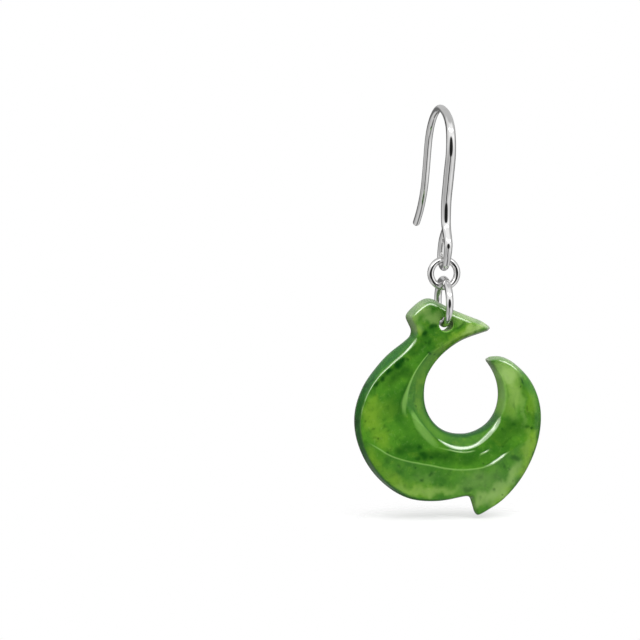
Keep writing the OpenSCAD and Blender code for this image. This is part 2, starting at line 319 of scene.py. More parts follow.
def stoneMaterial(look):
    # Polished jade. Its colour is laid in layers, each placed by a noise, by dark dots in a few
    # cells of a cell pattern, or by an attribute. Some attributes lay painted shade, painted
    # highlights and a painted sheen. Light scatters a little way into it, and it has a bright clear
    # coat where the glint attribute says.
    material, shader, place = newMaterial("carved jade", look["sockets"])
    colours = {name: linear(screen, look["faceLight"]) for name, screen in look["colours"].items()}
    drift = place.noise(place, 1 / (look["warpSize"] * mm), output=1)
    push = place.vector("SUBTRACT", drift, (0.5, 0.5, 0.5))
    warped = place.vector("ADD", place, place.vector("MULTIPLY", push, (look["warp"] * mm,) * 3))
    lean = (0, math.radians(look["grainTilt"]), 0)
    turned = {"Vector": warped, "Rotation": lean, "Scale": (1, 1, look["grainStretch"])}
    stretched = place.node("ShaderNodeMapping", {}, turned)
    places = {"broad": place, "mottle": warped, "fine": place, "grain": stretched}
    noises = {
        name: place.noise(places[name], 1 / (size * mm), detail, roughness)
        for name, (size, detail, roughness) in look["noises"].items()
    }

    def share(name):
        # The attribute of that name, from 0 to 1.
        return place.node("ShaderNodeAttribute", {"attribute_name": name}, {}, "Fac")

    cells = {"Vector": warped, "Scale": 1 / (look["speckSize"] * mm)}
    dots = place.node("ShaderNodeTexVoronoi", {}, cells, "Distance").fade(*look["speckFade"])
    chance = place.node("ShaderNodeTexVoronoi", {}, cells, "Color")
    few = place.node("ShaderNodeSeparateColor", {}, {0: chance}).fade(*look["speckChance"])
    specks = dots * few

    tone = colours["base"]
    least, spread = look["patchiness"]
    for name, colour, strength, *fade in look["layers"]:
        if fade:
            mask = noises[name].fade(*fade)
        else:
            mask = specks if name == "specks" else share(name)
        if name in look["patchy"]:
            mask = mask * (least + spread * noises["mottle"])
        if strength < 1:
            mask = mask * strength
        tone = place.mix(mask, tone, colours[colour])
    feed(shader, "Base Color", tone)

    rougher = look["roughnessSpread"] * noises["mottle"].fade(*look["roughnessFade"])
    rough = look["roughness"] + rougher + look["boreRoughness"] * share("bore")
    feed(shader, "Roughness", rough)
    feed(shader, "Coat Weight", share("glint"))
    bump = {"Strength": look["bumpStrength"], "Distance": look["bumpDepth"] * mm}
    bump["Height"] = noises["mottle"]
    feed(shader, "Normal", place.node("ShaderNodeBump", {}, bump))
    return material


silver = silverMaterial(silverLook)
jade = stoneMaterial(stoneLook)
print("materials made")


def gridFaces(rows, columns, wrapRows):
    # Quads that join point (i, j) to the next row and the next column. Columns always close on
    # themselves, and rows do where wrapRows says so.
    i, j = np.meshgrid(np.arange(rows if wrapRows else rows - 1), np.arange(columns), indexing="ij")
    i, j = i.ravel(), j.ravel()
    up, over = (i + 1) % rows, (j + 1) % columns
    return np.stack([i * columns + j, i * columns + over, up * columns + over, up * columns + j], 1)


def capFaces(rows, columns):
    # Triangles from a pole before the first row and one after the last to their rows' edges.
    j = np.arange(columns)
    over = (j + 1) % columns
    first, last = rows * columns, rows * columns + 1
    end = (rows - 1) * columns
    return np.concatenate([
        np.stack([over, j, np.full(columns, first)], 1),
        np.stack([end + j, end + over, np.full(columns, last)], 1),
    ])


def signedVolume(points, quads):
    # A sixth of the sum of a . (b x c) over the triangles of the quads: above 0 if they face out.
    a, b, c, d = (points[quads[:, k]] for k in range(4))
    return (np.sum(a * np.cross(b, c)) + np.sum(a * np.cross(c, d))) / 6


def surface(name, points, wrapRows, material, poles=None):
    # A closed mesh from a grid of points, with a pole at each end where the rows don't close.
    rows, columns = points.shape[:2]
    flat = points.reshape(-1, 3)
    quads = gridFaces(rows, columns, wrapRows)
    inwards = signedVolume(flat, quads) < 0
    faces = (quads[:, ::-1] if inwards else quads).tolist()
    if poles is not None:
        flat = np.concatenate([flat, poles])
        caps = capFaces(rows, columns)
        faces += (caps[:, ::-1] if inwards else caps).tolist()
    mesh = bpy.data.meshes.new(name)
    mesh.from_pydata((flat * mm).tolist(), [], faces)
    mesh.polygons.foreach_set("use_smooth", np.ones(len(mesh.polygons), dtype=bool))
    mesh.materials.append(material)
    mesh.update()
    return addObject(name, mesh)


def spline(rows, count):
    # The natural cubic spline through the rows, with the square root of the distance between rows
    # as its parameter: its second derivatives solve the tridiagonal system of equal slopes.
    rows = np.array(rows, float)
    steps = np.linalg.norm(np.diff(rows[:, :2], axis=0), axis=1) ** 0.5
    t = np.concatenate([[0], np.cumsum(steps)])
    h = np.diff(t)[:, None]
    system = np.eye(len(rows))
    inner = np.arange(1, len(rows) - 1)
    system[inner, inner - 1] = h[:-1, 0]
    system[inner, inner] = 2 * (h[:-1, 0] + h[1:, 0])
    system[inner, inner + 1] = h[1:, 0]
    slopes = np.diff(rows, axis=0) / h
    ends = 0 * rows[:1]
    bends = np.linalg.solve(system, np.concatenate([ends, 6 * np.diff(slopes, axis=0), ends]))
    at = np.linspace(0, t[-1], count)
    k = np.clip(np.searchsorted(t, at, side="right") - 1, 0, len(h) - 1)
    b = (at - t[k])[:, None] / h[k]
    a = 1 - b
    return (a * rows[k] + b * rows[k + 1]
            + ((a ** 3 - a) * bends[k] + (b ** 3 - b) * bends[k + 1]) * h[k] ** 2 / 6)


def catmullRom(rows, steps):
    # Each stretch between two rows as the cubic whose slope at a row is half the difference of its
    # neighbours, cut into equal steps.
    rows = np.array(rows, float)
    padded = np.concatenate([rows[:1], rows, rows[-1:]])
    at = np.arange((len(rows) - 1) * steps + 1) / steps
    k = np.minimum(at.astype(int), len(rows) - 2)
    t = (at - k)[:, None]
    a, b, c, d = (padded[k + i] for i in range(4))
    return (2 * b + (c - a) * t + (2 * a - 5 * b + 4 * c - d) * t ** 2
            + (3 * b - a - 3 * c + d) * t ** 3) / 2


# The ear wire in the plane x = 0: depth, height and wire radius, from the free tip over the arch
# and down the front leg to the loop, and from the loop's bottom bend back up to the leg.
earWire = {
    "legRows": [
        (10.3, -13.25, 0.42), (8.78, -11.85, 0.425), (7.6, -10.4, 0.425), (6.72, -8.9, 0.425),
        (6.08, -7.2, 0.43), (5.6, -5.6, 0.43), (5.13, -4, 0.435), (4.4, -2.4, 0.43), (3.1, -0.9, 0.42),
        (1.5, 0.06, 0.41), (0, 0.41, 0.41), (-1.9, 0.12, 0.45), (-3.5, -0.65, 0.5), (-4.5, -1.8, 0.53),
        (-4.82, -3.4, 0.56), (-4.67, -5, 0.585), (-4.1, -6.6, 0.605), (-3.5, -8.3, 0.6),
        (-2.92, -10, 0.59), (-2.72, -11.6, 0.575), (-2.8, -12.9, 0.545), (-3.3, -14, 0.51),
        (-3.75, -14.9, 0.485), (-3.75, -15.7, 0.46),
    ],
    "closingRows": [(-1.02, -15.2, 0.43), (-1.5, -14.4, 0.42), (-2.2, -13.7, 0.41), (-2.9, -13.1, 0.38)],
    "bendRadius": 1.25, "bendWire": 0.44, "bendAngles": [215, 245, 270, 295, 325, 355],
    "solderAt": (-2.62, -13.5), "solderSize": (0.4, 0.46, 0.62), "solderSteps": (26, 40),
    "steps": 620, "sides": 40, "domeSteps": 8,
}


def wirePath(wire):
    # The leg's rows, the bottom bend's rows on a circle above the loop's lowest point, and the
    # closing rows, joined by one spline.
    angle = np.radians(wire["bendAngles"])
    r = wire["bendRadius"]
    bend = np.stack([
        loopAt[1] + r * np.cos(angle), loopAt[2] + r + r * np.sin(angle),
        np.full(len(angle), wire["bendWire"])], 1)
    return spline(np.concatenate([wire["legRows"], bend, wire["closingRows"]]), wire["steps"])


def wireSurface(name, path, sides, domeSteps, material):
    # Ring j of the path stands square to it: centre + r (cos a x + sin a n), with n the heading
    # turned a quarter in the plane. The tip's dome is rings of radius r sin b, r cos b ahead.
    heading = np.gradient(path[:, :2], axis=0)
    heading /= np.linalg.norm(heading, axis=1)[:, None]
    b = np.radians(np.linspace(0, 90, domeSteps, endpoint=False)[1:])[:, None]
    tip = path[0]
    dome = np.concatenate([tip[:2] - heading[0] * tip[2] * np.cos(b), tip[2] * np.sin(b)], 1)
    path = np.concatenate([dome, path])
    heading = np.concatenate([np.repeat(heading[:1], len(dome), 0), heading])
    a = np.linspace(0, 2 * np.pi, sides, endpoint=False)
    r = path[:, 2:3]
    x = r * np.cos(a)
    y = path[:, 0:1] - heading[:, 1:2] * r * np.sin(a)
    z = path[:, 1:2] + heading[:, 0:1] * r * np.sin(a)
    start = tip[:2] - heading[0] * tip[2]
    poles = np.array([[0, *start], [0, *path[-1, :2]]])
    return surface(name, np.stack([x, y, z], 2), False, material, poles)


def egg(name, centre, halfSizes, steps, material):
    # An ellipsoid: centre + (a sin u cos v, b sin u sin v, c cos u).
    u = np.radians(np.linspace(0, 180, steps[0])[1:-1])[:, None]
    v = np.radians(np.linspace(0, 360, steps[1], endpoint=False))
    unit = np.stack([np.sin(u) * np.cos(v), np.sin(u) * np.sin(v), np.cos(u) + 0 * v], 2)
    poles = np.array([[0, 0, 1], [0, 0, -1]])
    return surface(name, centre + unit * halfSizes, False, material, centre + poles * halfSizes)


def fuse(piece, other, operation):
    # Joins other to the piece, or cuts it away, and keeps the result as the piece's own mesh.
    step = piece.modifiers.new("fuse", "BOOLEAN")
    step.operation, step.object, step.solver = operation, other, "EXACT"
    step.use_self = operation == "UNION"
    graph = bpy.context.evaluated_depsgraph_get()
    result = bpy.data.meshes.new_from_object(piece.evaluated_get(graph))
    piece.modifiers.clear()
    piece.data = result
    bpy.data.objects.remove(other)


def makeEarWire(wire):
    # The bent wire, with an egg of solder where its loop closes.
    piece = wireSurface("EarWire", wirePath(wire), wire["sides"], wire["domeSteps"], silver)
    centre = np.array([0, *wire["solderAt"]])
    solder = egg("solder", centre, np.array(wire["solderSize"]), wire["solderSteps"], silver)
    fuse(piece, solder, "UNION")
    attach(piece, "ear_wire")
    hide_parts("ear_wire")


# Each ring's radius to the middle of its wire, its wire's radius, whether it faces the front, and
# the steps round the ring and round its wire. Millimetres.
rings = {
    "JumpRing": {
        "body": "jump_ring", "radius": 1.57, "wire": 0.38, "facesFront": True, "steps": (260, 56),
    },
    "LowerRing": {
        "body": "lower_ring", "radius": 2.54, "wire": 0.43, "facesFront": False, "steps": (260, 56),
    },
}


def makeRing(name, ring):
    # A torus round the middle of its CAD node's box: centre + (R + r cos a) (cos u, sin u) in the
    # ring's plane and r sin a across it.
    u = np.linspace(0, 2 * np.pi, ring["steps"][0], endpoint=False)[:, None]
    a = np.linspace(0, 2 * np.pi, ring["steps"][1], endpoint=False)
    reach = ring["radius"] + ring["wire"] * np.cos(a)
    level, upright, through = reach * np.cos(u), reach * np.sin(u), ring["wire"] * np.sin(a) + 0 * u
    low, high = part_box(ring["body"])
    centre = (np.array(low) + np.array(high)) / 2 / mm
    parts = [level, through, upright] if ring["facesFront"] else [through, level, upright]
    piece = surface(name, centre + np.stack(parts, 2), True, silver)
    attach(piece, ring["body"])
    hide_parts(ring["body"])


# The pendant's ribs radiate from the middle of its round void: angle up from the +X axis, radius
# of the inner edge and radius of the outer edge, from the beak over the head, down the back, round
# the belly and the barb, and up to the arm's tip. Other tables give a size at such angles. Places
# are from the hole, and distances from an edge.
pendant = {
    "voidAt": (2.12, -8.4),
    "firstAngle": 66,
    "ribs": [
        (66.7, 8.36, 8.52), (67.4, 8.1, 8.63), (70, 7.8, 8.75), (75, 7.35, 8.95), (82, 6.87, 9.15),
        (89, 6.48, 9.5), (96, 6.12, 10.05), (102, 5.85, 10.87), (107, 5.65, 11.75), (110, 5.55, 12.08),
        (113.5, 5.44, 12.12), (118.5, 5.3, 11.92), (122.5, 5.2, 11.72), (125, 5.14, 11.5),
        (126.1, 5.12, 11.17), (126.8, 5.1, 10.55), (127.6, 5.09, 9.9), (129.2, 5.06, 9.53),
        (132.5, 5, 9.31), (140, 4.89, 9.47), (150, 4.78, 10.02), (162, 4.63, 10.78), (175, 4.51, 11.82),
        (190, 4.47, 12.84), (205, 4.46, 13.38), (222, 4.47, 13.59), (240, 4.47, 13.38),
        (254, 4.42, 12.65), (265, 4.38, 12), (270, 4.38, 11.77), (273.2, 4.39, 11.72), (275, 4.4, 11.88),
        (275.8, 4.4, 12.35), (276.4, 4.4, 13.08), (276.9, 4.4, 13.65), (278, 4.4, 14.05),
        (280, 4.4, 14.02), (284, 4.4, 13.72), (291, 4.41, 13.28), (302, 4.44, 12.47), (316, 4.49, 11.5),
        (332, 4.52, 10.57), (350, 4.49, 9.65), (368, 4.48, 8.62), (384, 4.54, 7.63), (396, 4.65, 6.98),
        (404, 4.76, 6.44), (409, 4.85, 5.98), (412.8, 4.93, 5.6), (414.2, 4.99, 5.32),
    ],
    "ribSteps": 24, "rows": 560, "columns": 82, "crossSteps": 400,
    # How closely the steps across a rib lie: at least, for each millimetre everywhere, and how
    # much closer within what reach of a line. The beads lie at linesAt from the inner edge.
    "crowding": {
        "least": 0.5, "everywhere": 0.7, "innerEdge": (9, 0.16), "outerEdge": (9, 0.16),
        "crest": (3, 0.4), "arris": (3, 0.25), "ridge": (4, 0.25), "lines": (3, 0.5), "linesAt": 2.2,
    },
    # Half the thickness at the crown and at the head, and the heights between which it changes.
    "halfCrown": 1.6, "halfHead": 1.2, "crownFrom": -2, "crownTo": -9,
    "edgeRound": 0.34, "soft": 0.03,
    # Each edge's wall, the width and hollow of the slope above it, the softness of the arris,
    # and the tilt and width of the narrow facet that cuts it.
    "outer": {
        "wall": {66: 0.5, 100: 0.62, 414: 0.62},
        "width": {
            66: 0.5, 80: 0.62, 96: 0.62, 105: 0.54, 120: 0.54, 128: 0.52, 140: 0.75, 148: 0.86,
            157: 0.76, 165: 0.54, 173: 0.46, 186: 0.34, 200: 0.3, 215: 0.42, 230: 0.5, 280: 0.5,
            310: 0.9, 370: 0.8, 392: 0.46, 414: 0.42,
        },
        "hollow": {66: 0, 414: 0},
        "soft": {66: 0.03, 180: 0.05, 215: 0.25, 290: 0.3, 370: 0.3, 386: 0.05, 414: 0.03},
        "tilt": {
            66: 22, 102: 22, 105: 20, 111: 20, 114: 26, 130: 25, 148: 26, 157: 27, 165: 31, 180: 38,
            384: 26, 392: 25, 402: 21, 414: 20,
        },
        "facet": {
            84: 0, 86: 0.16, 98: 0.19, 101: 0.08, 104: 0.12, 106.5: 0.03, 108: 0.19, 112.5: 0.2,
            120.5: 0.18, 122: 0, 129: 0, 130.5: 0.22, 136: 0.26, 148: 0.2, 157: 0.16, 165: 0.1,
            170: 0.05, 185: 0.03, 192: 0, 384: 0, 387: 0.1, 398: 0.16, 402.5: 0.1, 404: 0,
        },
        "steepest": 0.9,
    },
    "inner": {
        "wall": {66: 0.5, 110: 0.55, 140: 0.62, 330: 0.62, 414: 0.5},
        "width": {
            66: 0.5, 112: 0.9, 131: 1.5, 143: 1.67, 154: 1.86, 163: 2.05, 171: 2.25, 179: 2.38, 186: 2.4,
            194: 2.25, 203: 1.85, 212: 1.5, 223: 1.33, 238: 1.3, 246.5: 1.41, 255: 1.53, 266: 1.6,
            276: 1.5, 286: 1.31, 299: 0.92, 312: 0.62, 330: 0.42, 414: 0.5,
        },
        "hollow": {66: 0, 131: 0.3, 169: 0.6, 190: 0.5, 215: 0.2, 240: 0, 414: 0},
        "soft": {
            66: 0.3, 125: 0.2, 135: 0.05, 180: 0.08, 200: 0.08, 225: 0.03, 325: 0.04, 335: 0.2, 414: 0.3,
        },
        "tilt": {
            66: 20, 225: 24, 240: 23.7, 255: 20, 270: 19.5, 285: 19.7, 300: 22, 315: 27.5, 330: 36,
            414: 36,
        },
        "facet": {
            236: 0, 241: 0.16, 250: 0.28, 262: 0.38, 272: 0.36, 282: 0.34, 290: 0.4, 300: 0.44,
            315: 0.44, 325: 0.36, 332: 0,
        },
        "steepest": 0.9,
    },
    # The ridge's radius, the face's fall beyond it, and the height and half width of its bead.
    "ridge": {
        195: 14.5, 203: 12.6, 209.4: 11.69, 214.5: 11.21, 221.3: 10.5, 228.3: 9.8, 234.9: 9.25,
        245.9: 8.68, 259.8: 8.46, 270.4: 8.43, 280.6: 8.48, 288.8: 8.52, 296.4: 8.48, 306.5: 8.34,
        318: 8.6, 335: 10.2, 350: 12,
    },
    "ridgeFall": 0.14,
    "ridgeBead": {
        200: 0, 212: 0.022, 283: 0.022, 289: 0.05, 295.5: 0.13, 301: 0.125, 307.5: 0.03, 310: 0,
    },
    "ridgeWidth": {283: 0.11, 289: 0.13, 295.5: 0.28, 301: 0.27, 307.5: 0.08},
    # More beads: distance from the inner edge, height, half width.
    "lines": [
        ({246: 1.93, 254: 1.91, 260: 1.99, 269: 2.02, 281: 1.95},
         {249: 0, 255: 0.036, 277: 0.036, 283: 0}, 0.1),
        ({285: 2.57, 290.7: 2.5, 295.1: 2.44}, {284: 0, 287: 0.057, 293: 0.057, 296: 0}, 0.145),
    ],
    # Where the stone thins: place, share and reach.
    "tips": [((5.5, -0.6), 0.4, 2.4), ((5.3, -4.2), 0.4, 2.6), ((4.3, -22.2), 0.3, 1.8)],
    "holeRadius": 0.85, "chamfer": 0.12, "drillReach": 3, "drillSides": 120, "sharpAngle": 35,
    # How strongly each tone shows round the stone.
    # The bevel's tone is painted shade: the dark of the shaded wall and slope at the outer edge.
    "bevelShadeTone": {
        66: 0.1, 100: 0.12, 124: 0.3, 131: 0.8, 150: 1, 230: 1, 252: 0.4, 262: 0, 360: 0, 385: 0.2,
        414: 0.5,
    },
    "rimTone": {66: 0, 120: 0, 170: 0.4, 205: 0.9, 290: 1, 320: 0.8, 345: 0.2, 414: 0.2},
    # The two sheen tables place a painted grey reflection on the outer bevel and at the void's edge by
    # the tips.
    "outerSheen": {
        66: 0.6, 84: 0.5, 100: 0.42, 112: 0.45, 124: 0.4, 130: 0.03, 150: 0.02, 172: 0, 375: 0,
        386: 0.25, 396: 0.4, 414: 0.5,
    },
    "innerSheen": {66: 0.6, 90: 0.45, 104: 0, 388: 0, 400: 0.4, 414: 0.5},
    # The ridge's tone is a painted highlight line along it.
    "ridgeTone": {203: 0, 210: 0.8, 288: 0.8, 294: 1, 305: 1, 311: 0},
    "ridgeGlint": {284: 0, 291: 0.78, 304: 0.78, 308.5: 0},
    # The reach of the ridge's painted highlight line, and the middle and reach of its shine, past
    # the ridge.
    "ridgeHighlightReach": 0.09, "ridgeShine": (-0.12, 0.16),
    # Where each tone starts to fade and ends: distances from an edge, for the bevel in widths
    # of it, for a facet in half widths, and for a cloud in half sizes.
    "fades": {
        "bevel": (0.5, 1.0556), "rim": (0.21, 0.51), "innerSheen": (0.12, 0.42), "bore": (0, 0.08),
        "facet": (0.9, 1.4), "cloud": (0.25, 1.25),
    },
    # The facets also take a share of the painted highlight colour, beside their coat.
    "leastFacet": 0.04, "facetStart": 0.06, "facetGlint": 0.84, "facetHighlight": 0.5,
    # Lines of tone: attribute, distance from the inner edge, half width and strength.
    "strokes": [
        # The first five lines are painted highlights and reflections: a pale ribbon and a pale band
        # along the crest, two lines on the beads, and light on the arm's shaded inner wall.
        ("paintedHighlight",
         {131: 1.55, 143: 1.67, 154: 1.86, 163: 2.07, 171: 2.3, 178: 2.55, 183: 2.72, 188.5: 2.85,
          194: 2.92},
         {131: 0.05, 143: 0.06, 154: 0.09, 163: 0.13, 171: 0.19, 178: 0.27, 183: 0.31, 188: 0.27,
          196: 0.1}, {128: 0, 133: 0.8, 143: 0.9, 171: 0.75, 186: 0.7, 193: 0.4, 197: 0}),
        ("paintedHighlight", {195.5: 1.95, 203: 1.88, 212: 1.83, 221: 1.8, 231: 1.86, 240: 2.06},
         {194: 0.2, 203: 0.36, 212: 0.44, 221: 0.45, 231: 0.4, 240: 0.24},
         {192: 0, 198: 0.5, 210: 0.62, 225: 0.6, 235: 0.42, 241: 0}),
        ("paintedHighlight", {240: 2.1, 254: 1.93, 269: 2.02, 281: 1.95}, {240: 0.08, 281: 0.08},
         {238: 0, 248: 0.5, 256: 0.9, 275: 0.9, 283: 0}),
        ("paintedHighlight", {284: 2.57, 290.7: 2.5, 295.1: 2.44}, {284: 0.09, 296: 0.07},
         {284: 0, 287: 1, 293: 1, 296: 0}),
        ("paintedHighlight", {330: 0.12, 410: 0.12}, {330: 0.3, 345: 0.42, 395: 0.44, 410: 0.3},
         {330: 0, 347: 0.8, 390: 0.8, 402: 0}),
        ("glint", {285: 2.49, 290.7: 2.42, 295.1: 2.36}, {285: 0.09, 296: 0.09},
         {284: 0, 287: 0.65, 293: 0.65, 296: 0}),
        ("glint", {246: 1.89, 254: 1.87, 269: 1.98, 281: 1.91}, {246: 0.07, 281: 0.07},
         {249: 0, 255: 0.5, 277: 0.5, 283: 0}),
        ("streak", {112: 0.9, 150: 0.95, 190: 0.8, 240: 0.75}, {112: 0.4, 160: 0.45, 240: 0.35},
         {106: 0, 122: 0.45, 170: 0.38, 190: 0.55, 228: 0.5, 250: 0}),
        ("streak", {246: 1, 300: 0.8}, {246: 0.3, 300: 0.25}, {246: 0, 262: 0.1, 290: 0.1, 302: 0}),
        # Painted shade: a dark line along the inner side of the pale band, a broad darkening over the
        # cove, and a dark band beside the pale ribbon.
        ("paintedShade", {190: 1.75, 204: 1.42, 214: 1.3, 223: 1.26, 232: 1.3, 240: 1.5},
         {190: 0.06, 240: 0.07}, {188: 0, 196: 0.6, 232: 0.6, 241: 0}),
        ("paintedShade", {150: 0.8, 310: 0.8}, {150: 0.75, 230: 0.7, 310: 0.5},
         {145: 0, 165: 0.32, 250: 0.34, 290: 0.3, 312: 0}),
        ("paintedShade", {150: 2.15, 163: 2.35, 171: 2.62, 178: 2.98, 186: 3.25, 196: 3.3},
         {150: 0.15, 178: 0.2, 196: 0.2}, {146: 0, 158: 0.35, 178: 0.5, 190: 0.4, 200: 0}),
    ],
}


def edgeDistance(points, edge):
    # The least distance from each point to the short stretches of an edge: for the stretch a to b,
    # the length of p - a - t (b - a), with t = (p - a) . (b - a) / |b - a|^2 held from 0 to 1.
    a, ab = edge[:-1], np.diff(edge, axis=0)
    size = np.sum(ab * ab, 1)
    least = []
    atOnce = 4000
    for part in np.array_split(points, max(1, len(points) // atOnce)):
        away = part[:, None] - a
        t = np.clip(np.sum(away * ab, 2) / size, 0, 1)
        least.append(np.sqrt(np.min(np.sum((away - t[..., None] * ab) ** 2, 2), 1)))
    return np.concatenate(least)


def softLeast(a, b, soft):
    # The lesser of two heights, rounded where they come within soft of each other.
    return np.minimum(a, b) - np.maximum(soft - np.abs(a - b), 0) ** 2 / (4 * soft)


def ease(t):
    # The smooth step t^2 (3 - 2 t), with t held from 0 to 1.
    t = np.clip(t, 0, 1)
    return t * t * (3 - 2 * t)


def fadeOut(value, start, end):
    # 1 up to the start, 0 past the end, and a smooth step between them.
    return 1 - ease((value - start) / (end - start))


def near(points, place, reach):
    # A bell round a place: exp(-(distance / reach)^2).
    return np.exp(-np.sum((points - np.array(place)) ** 2, 1) / reach ** 2)


def along(angle, table):
    # A size that changes round the void: a smooth curve through the table's sizes at its angles.
    # Its slope at one is the harmonic mean of the two beside it, or 0 where they turn.
    at, size = np.array(list(table.items()), float).T
    step = np.diff(at)
    rise = np.diff(size) / step
    both = rise[:-1] * rise[1:]
    total = np.where(both > 0, rise[:-1] + rise[1:], 1)
    slope = np.concatenate([rise[:1], np.where(both > 0, 2 * both / total, 0), rise[-1:]])
    k = np.clip(np.searchsorted(at, angle, side="right") - 1, 0, len(at) - 2)
    t = np.clip((angle - at[k]) / step[k], 0, 1)
    bend = step[k] * t * (1 - t) * (slope[k] * (1 - t) - slope[k + 1] * t)
    return size[k] * (1 + 2 * t) * (1 - t) ** 2 + size[k + 1] * t * t * (3 - 2 * t) + bend


def bow(distance, edgeRound):
    # The height of a quarter circle, from 0 at the edge to 1 at the radius and beyond.
    return np.sqrt(1 - (1 - np.minimum(distance / edgeRound, 1)) ** 2)


def roof(distance, height, width):
    # A low ridge with flat flanks: its height less the distance's share of its width.
    return height * np.maximum(1 - np.abs(distance) / width, 0)


def edgeSizes(angle, top, edge):
    # An edge's sizes round the void, the slope of its bevel at the arris, and the slope of its
    # facet, which is at most the share "steepest" of that.
    names = ("wall", "width", "hollow", "facet")
    wall, width, hollow, facet = (along(angle, edge[name]) for name in names)
    steep = (top - wall) / width * (1 + hollow)
    tilt = np.tan(np.radians(along(angle, edge["tilt"])))
    gentle = np.minimum(tilt, edge["steepest"] * steep)
    return wall, width, hollow, facet, steep, gentle


def edgeCut(distance, angle, top, edge, stone):
    # The height over an edge: a rounded wall, a slope that reaches the top at the edge's width,
    # hollow by its share, and a narrow facet of its own tilt that cuts the arris between the slope
    # and the face. A facet of width w between slopes a and b lies w a (b - a) / b under the arris.
    wall, width, hollow, facet, steep, gentle = edgeSizes(angle, top, edge)
    rise = distance / width
    rise = np.where(rise < 1, rise * (1 - hollow + hollow * rise), 1 + (rise - 1) * (1 + hollow))
    height = wall * bow(distance, stone["edgeRound"]) + (top - wall) * rise
    under = facet * gentle * (steep - gentle) / steep
    return softLeast(height, top - under + gentle * (distance - width), stone["soft"])


def pastRidge(points, angle, stone):
    # How far each point lies beyond the ridge: its distance from the void less the ridge's.
    return np.linalg.norm(points - np.array(stone["voidAt"]), axis=1) - along(angle, stone["ridge"])


def halfThickness(points, angle, outer, inner, stone):
    # The soft least of three heights: the outer bevel, the cove round the void, and the face, which
    # is crowned, falls away beyond the ridge and carries fine beads. All thin towards the tips.
    toOuter, toInner = edgeDistance(points, outer), edgeDistance(points, inner)
    low = (stone["crownFrom"] - points[:, 1]) / (stone["crownFrom"] - stone["crownTo"])
    top = stone["halfHead"] + (stone["halfCrown"] - stone["halfHead"]) * ease(low)

    bevel = edgeCut(toOuter, angle, top, stone["outer"], stone)
    cove = edgeCut(toInner, angle, top, stone["inner"], stone)

    past = pastRidge(points, angle, stone)
    face = softLeast(top, top - stone["ridgeFall"] * past, stone["soft"])
    face = face + roof(past, along(angle, stone["ridgeBead"]), along(angle, stone["ridgeWidth"]))
    for at, bead, width in stone["lines"]:
        face = face + roof(toInner - along(angle, at), along(angle, bead), width)

    height = softLeast(face, bevel, along(angle, stone["outer"]["soft"]))
    height = softLeast(height, cove, along(angle, stone["inner"]["soft"]))
    thin = np.max([share * near(points, place, reach) for place, share, reach in stone["tips"]], 0)
    return np.maximum(height, 0) * (1 - thin)


def evenRibs(stone):
    # The ribs at equal steps of the outer edge's length.
    ribs = catmullRom(stone["ribs"], stone["ribSteps"])
    edge = edgesOf(ribs, stone)[1]
    length = np.concatenate([[0], np.cumsum(np.linalg.norm(np.diff(edge, axis=0), axis=1))])
    at = np.linspace(0, length[-1], stone["rows"])
    return np.stack([np.interp(at, length, column) for column in ribs.T], 1)


def edgesOf(ribs, stone):
    # The two edges as points from the hole: void + radius (cos angle, sin angle).
    angle = np.radians(ribs[:, 0])
    ray = np.stack([np.cos(angle), np.sin(angle)], 1)
    return [np.array(stone["voidAt"]) + ribs[:, k:k + 1] * ray for k in (1, 2)]


def stations(ribs, stone):
    # Where the steps across each rib lie, as shares of its length: equal steps of the running sum
    # of a density, which rises by more exp(-(distance / reach)^2) at each line.
    share = np.linspace(0, 1, stone["crossSteps"])
    length = (ribs[:, 2] - ribs[:, 1])[:, None]
    angle = ribs[:, 0]
    fromInner, fromOuter = share * length, (1 - share) * length
    crowding = stone["crowding"]
    distances = {
        "innerEdge": fromInner,
        "outerEdge": fromOuter,
        "crest": fromInner - along(angle, stone["inner"]["width"])[:, None],
        "arris": fromOuter - along(angle, stone["outer"]["width"])[:, None],
        "ridge": ribs[:, 1:2] + fromInner - along(angle, stone["ridge"])[:, None],
        "lines": fromInner - crowding["linesAt"],
    }
    density = crowding["everywhere"]
    for name, distance in distances.items():
        more, reach = crowding[name]
        density = density + more * np.exp(-(distance / reach) ** 2)
    total = np.cumsum(density * length + crowding["least"], axis=1)
    total = (total - total[:, :1]) / (total[:, -1:] - total[:, :1])
    row = 2 * np.arange(len(ribs))[:, None]
    wanted = np.linspace(0, 1, stone["columns"] + 1)
    found = np.interp((wanted + row).ravel(), (total + row).ravel(), np.tile(share, len(ribs)))
    return found.reshape(len(ribs), -1)


def stoneSurface(stone):
    # Point (i, k) lies on rib i, k stations from the inner edge to the outer one on the front and
    # then back on the rear, at the half thickness before or behind the middle plane.
    ribs = evenRibs(stone)
    inner, outer = edgesOf(ribs, stone)
    share = stations(ribs, stone)
    flat = inner[:, None] + share[..., None] * (outer - inner)[:, None]
    angle = np.repeat(ribs[:, 0], share.shape[1])
    height = halfThickness(flat.reshape(-1, 2), angle, outer, inner, stone).reshape(share.shape)
    height[:, 0] = height[:, -1] = 0
    front = np.stack([flat[..., 0], -height, flat[..., 1]], 2)
    rear = np.stack([flat[..., 0], height, flat[..., 1]], 2)[:, -2:0:-1]
    points = holeAt + np.concatenate([front, rear], 1)
    poles = np.stack([points[0].mean(0), points[-1].mean(0)])
    return surface("Pendant", points, False, jade, poles)


